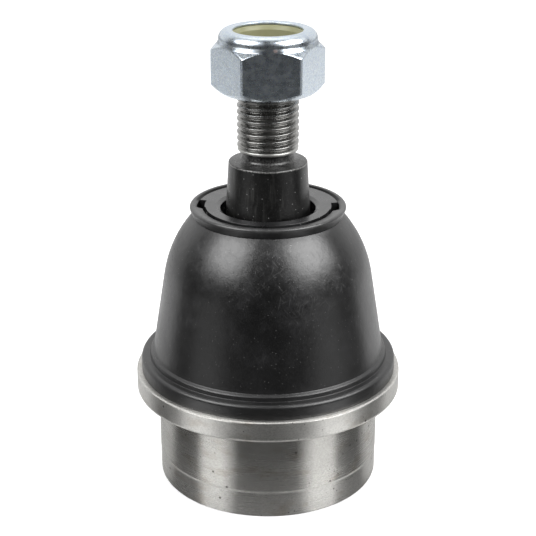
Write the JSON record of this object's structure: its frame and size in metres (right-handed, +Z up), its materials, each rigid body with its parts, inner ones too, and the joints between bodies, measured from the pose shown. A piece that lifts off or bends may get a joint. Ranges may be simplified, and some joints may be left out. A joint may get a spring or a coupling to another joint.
{
  "type": "suspension ball joint",
  "caption": "Press-in suspension ball joint: flanged steel housing, black rubber dust boot, tapered threaded stud and collared lock nut.",
  "frame": {"origin": "centre of the housing's lower rim, on the stud's axis, so the joint stands on z = 0", "axes": "+Z up along the stud's axis, from the housing to the nut; +Y away from the viewer, +X to the right"},
  "size_m": [0.062, 0.062, 0.1066],
  "materials": {
    "turned_steel": "bright turned steel, fine turning marks",
    "plate_steel": "pressed steel sheet",
    "spring_steel": "dark hardened spring steel",
    "seat_steel": "sintered steel, satin",
    "bearing_polymer": "natural acetal, smooth",
    "stud_steel": "black phosphate taper, bare steel thread and ball",
    "boot_rubber": "satin black moulded rubber",
    "ring_steel": "zinc plated pressed steel",
    "neck_polymer": "black moulded polymer, satin",
    "zinc_plate": "bright blue-white zinc plate",
    "nylon": "translucent olive nylon"
  },
  "bodies": {
    "housing": {"housing": "turned_steel", "cover_plate": "plate_steel", "preload_spring": "spring_steel", "pressure_seat": "seat_steel", "dust_boot": "boot_rubber", "boot_base_ring": "ring_steel"},
    "bearing": {"upper_bearing_cup": "bearing_polymer", "lower_bearing_cup": "bearing_polymer"},
    "neck": {"boot_neck_ring": "neck_polymer"},
    "stud": {"ball_stud": "stud_steel"},
    "insert": {"nylon_insert": "nylon"},
    "nut": {"lock_nut": "zinc_plate"}
  },
  "joints": [
    {"name": "swing_x", "type": "hinge", "parent": "housing", "child": "bearing", "pos_m": [0, 0, 0.0218], "axis": [1, 0, 0], "range_deg": [-20, 20], "deforming": ["dust_boot"]},
    {"name": "swing_y", "type": "hinge", "parent": "bearing", "child": "neck", "pos_m": [0, 0, 0.0218], "axis": [0, 1, 0], "range_deg": [-20, 20], "deforming": ["dust_boot"]},
    {"name": "spin", "type": "hinge", "parent": "neck", "child": "stud", "pos_m": [0, 0, 0.0218], "axis": [0, 0, 1], "continuous": true},
    {"name": "nut_travel", "type": "slide", "parent": "stud", "child": "insert", "axis": [0, 0, 1], "range_m": [-0.0121, 0.0083]},
    {"name": "nut_turn", "type": "hinge", "parent": "insert", "child": "nut", "pos_m": [0, 0, 0.0928], "axis": [0, 0, 1], "range_deg": [-2880, 1980]}
  ],
  "couplings": [
    {"joint": "nut_travel", "follows": "nut_turn", "m_per_rad": 0.00023873}
  ]
}
